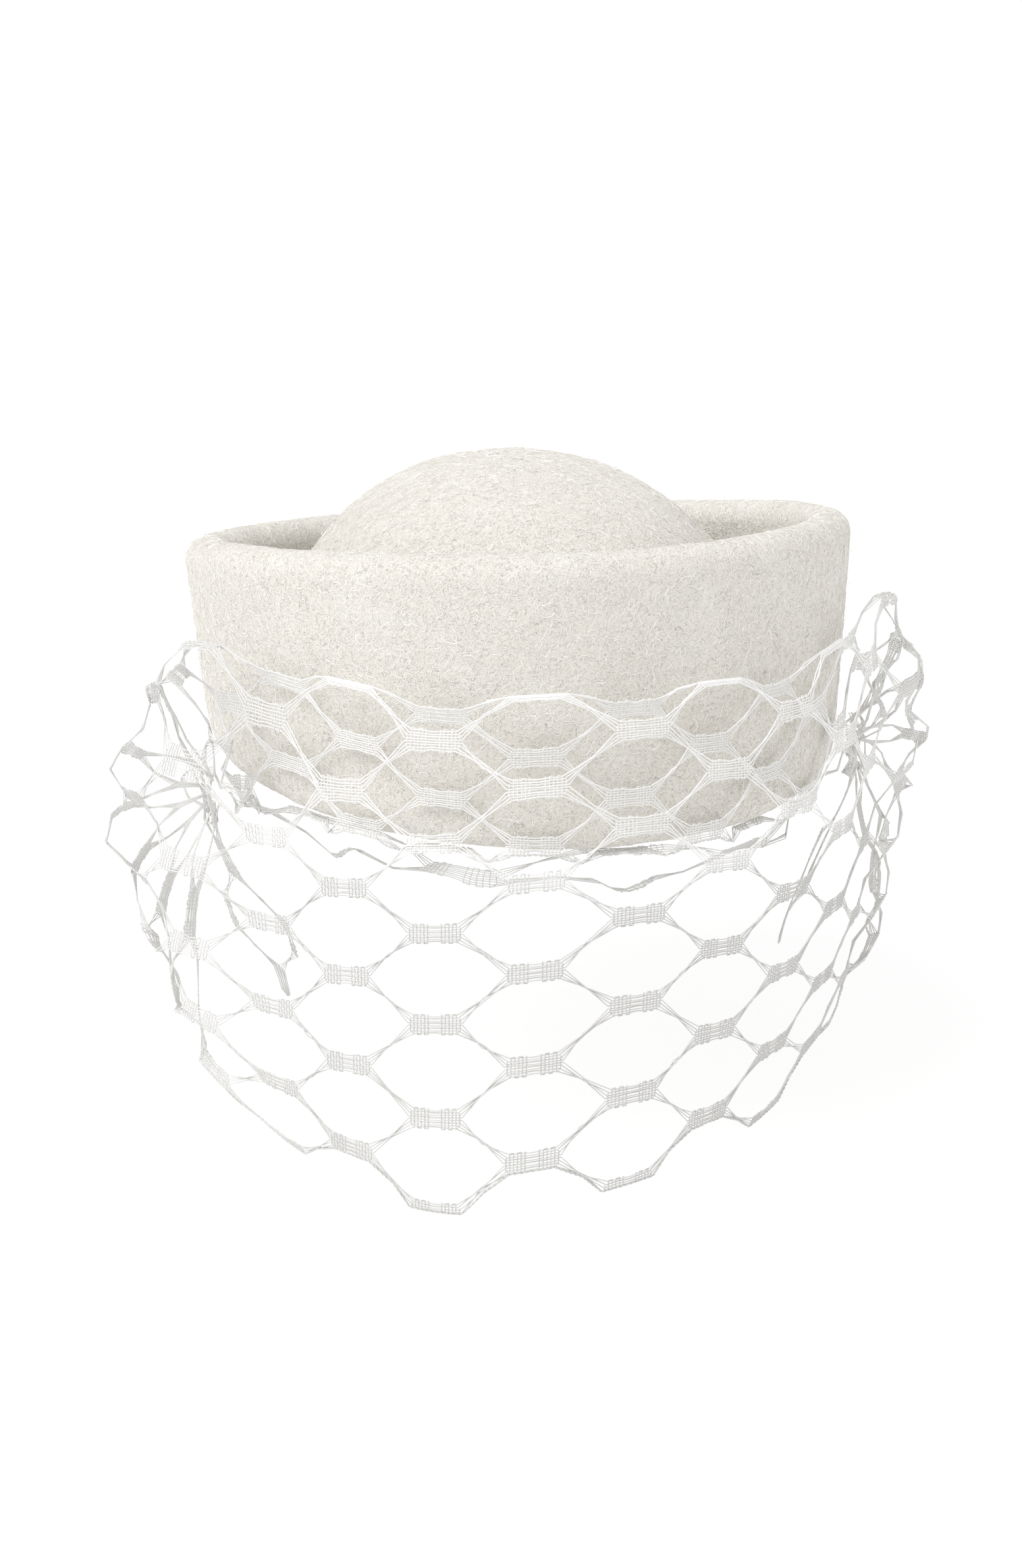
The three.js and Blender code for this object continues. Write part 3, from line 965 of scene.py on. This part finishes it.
class HAT_OT_veil_hem(bpy.types.Operator):
    """Make the twisted cord along the hem and along the sewn edge"""

    bl_idname = "hat.veil_hem"
    bl_label = "Veil hem"

    def execute(self, context):
        scene = context.scene
        s, n, d = sizes_of(scene.hat_felt), sizes_of(scene.hat_net), sizes_of(scene.hat_drape)
        chance = np.random.default_rng(NET_SEED)
        lines = []
        for thread, outward in ((0, -1), (ROWS * GROUP - 1, 1)):
            guide = np.array(thread_line(n, thread, chance))
            walked = np.concatenate([[0], np.cumsum(np.hypot(*np.diff(guide[:, :2], axis=0).T))])
            places = np.arange(0, walked[-1], CORD_STEP)
            along = np.interp(places, walked, guide[:, 0])
            across = np.interp(places, walked, guide[:, 1]) + outward * CORD_OUTSET
            for strand in (0, 1):
                turned = places / CORD_TWIST * math.tau + strand * math.pi
                swing = 0.55 * n.hem_cord
                flat = np.stack([along, across + swing * np.cos(turned), swing * np.sin(turned)], axis=1)
                flat[:, 1] = np.clip(flat[:, 1], 0, n.width)
                lines.append(net_surface(s, d, n, flat))
        mesh = mesh_of_lines("veil_hem", lines, n.hem_cord / 2, 0)
        material = bpy.data.materials["net_thread"]
        hem = add_piece("veil_hem", mesh, material)
        flat = (n.length, n.width)
        return {"FINISHED"}


# ---------------------------------------------------------------- studio


FLOOR_HEIGHT = -0.118
FLOOR_SIZE = 40
FLOOR_GLOW = 0.77
SKY_STRENGTH = 0.77

CAMERA_DISTANCE = 1.0
CAMERA_AZIMUTH = math.radians(-16)
CAMERA_ELEVATION = math.radians(20)
CAMERA_ROLL = math.radians(0.55)
CAMERA_AIM = (-0.0024, -0.0196)  # right of the hat's axis, above the head opening
FOCAL_PIXELS = 4580  # in the photo, from the fit to the hat's outline
PHOTO_HEIGHT = 2380
SENSOR = 36
CAMERA_LENS = FOCAL_PIXELS / PHOTO_HEIGHT * SENSOR

# Name, strength, width in degrees and the way towards each soft light
SUNS = (
    ("soft_key", 1.66, 44, (-0.60, -0.12, 0.79)),
    ("soft_fill", 0.34, 60, (0.90, -0.15, 0.30)),
)


class HAT_OT_studio(bpy.types.Operator):
    """Make the pale floor, the soft light and the camera"""

    bl_idname = "hat.studio"
    bl_label = "Studio"

    def execute(self, context):
        scene = context.scene
        bm = bmesh.new()
        bmesh.ops.create_grid(bm, x_segments=8, y_segments=8, size=FLOOR_SIZE)
        bmesh.ops.translate(bm, verts=bm.verts, vec=(0, 0, FLOOR_HEIGHT))
        mesh = bpy.data.meshes.new("studio_floor")
        bm.to_mesh(mesh)
        bm.free()
        floor = bpy.data.objects.new("studio_floor", mesh)
        collection().objects.link(floor)
        material, _, shader, _ = new_material("studio_floor", roughness=0.9, sheen=0, sheen_roughness=0.5)
        shader.inputs["Base Color"].default_value = (*scene.hat_look.floor, 1)
        shader.inputs["Emission Color"].default_value = (1, 1, 1, 1)
        shader.inputs["Emission Strength"].default_value = FLOOR_GLOW
        mesh.materials.append(material)

        world = scene.world or bpy.data.worlds.new("studio_sky")
        scene.world = world
        world.use_nodes = True
        sky = next(node for node in world.node_tree.nodes if node.type == "BACKGROUND")
        sky.inputs["Color"].default_value = (1, 1, 1, 1)
        sky.inputs["Strength"].default_value = SKY_STRENGTH

        for name, energy, angle, toward in SUNS:
            light = bpy.data.lights.new(name, "SUN")
            light.angle = math.radians(angle)
            light.energy = energy
            lamp = bpy.data.objects.new(name, light)
            collection().objects.link(lamp)
            lamp.rotation_euler = Vector(toward).normalized().to_track_quat("Z", "Y").to_euler()

        camera = bpy.data.cameras.new("photo_camera")
        camera.lens = CAMERA_LENS
        camera.sensor_width = SENSOR
        camera.clip_end = 100
        eye = bpy.data.objects.new("photo_camera", camera)
        collection().objects.link(eye)
        az, el = CAMERA_AZIMUTH, CAMERA_ELEVATION
        back = Vector((math.sin(az) * math.cos(el), -math.cos(az) * math.cos(el), math.sin(el)))
        right = Vector((math.cos(az), math.sin(az), 0))
        up = back.cross(right)
        x = right * math.cos(CAMERA_ROLL) + up * math.sin(CAMERA_ROLL)
        y = up * math.cos(CAMERA_ROLL) - right * math.sin(CAMERA_ROLL)
        place = right * CAMERA_AIM[0] + Vector((0, 0, CAMERA_AIM[1])) + back * CAMERA_DISTANCE
        turned = Matrix((x, y, back)).transposed().to_4x4()
        eye.matrix_world = Matrix.Translation(place) @ turned
        scene.camera = eye
        scene.view_settings.view_transform = "Standard"
        return {"FINISHED"}


# ---------------------------------------------------------------- panel and main


OPERATORS = (
    HAT_OT_felt_body,
    HAT_OT_felt_nap,
    HAT_OT_veil_net,
    HAT_OT_veil_seam,
    HAT_OT_veil_hem,
    HAT_OT_studio,
)


class HAT_PT_panel(bpy.types.Panel):
    """Sizes, colours and makers of the hat"""

    bl_idname = "HAT_PT_panel"
    bl_label = "Felt hat"
    bl_space_type = "VIEW_3D"
    bl_region_type = "UI"
    bl_category = "Hat"

    def draw(self, context):
        for attribute, kind in PARTS:
            box = self.layout.box()
            group = getattr(context.scene, attribute)
            for prop in kind.__annotations__:
                box.prop(group, prop)
        for operator in OPERATORS:
            self.layout.operator(operator.bl_idname)


def register():
    for attribute, kind in PARTS:
        bpy.utils.register_class(kind)
        setattr(bpy.types.Scene, attribute, PointerProperty(type=kind))
    for kind in (*OPERATORS, HAT_PT_panel):
        bpy.utils.register_class(kind)


def unregister():
    for kind in reversed((*OPERATORS, HAT_PT_panel)):
        bpy.utils.unregister_class(kind)
    for attribute, kind in reversed(PARTS):
        delattr(bpy.types.Scene, attribute)
        bpy.utils.unregister_class(kind)


def main():
    register()
    bpy.ops.hat.felt_body()
    bpy.ops.hat.felt_nap()
    bpy.ops.hat.veil_net()
    bpy.ops.hat.veil_seam()
    bpy.ops.hat.veil_hem()
    bpy.ops.hat.studio()


if __name__ == "__main__":
    main()
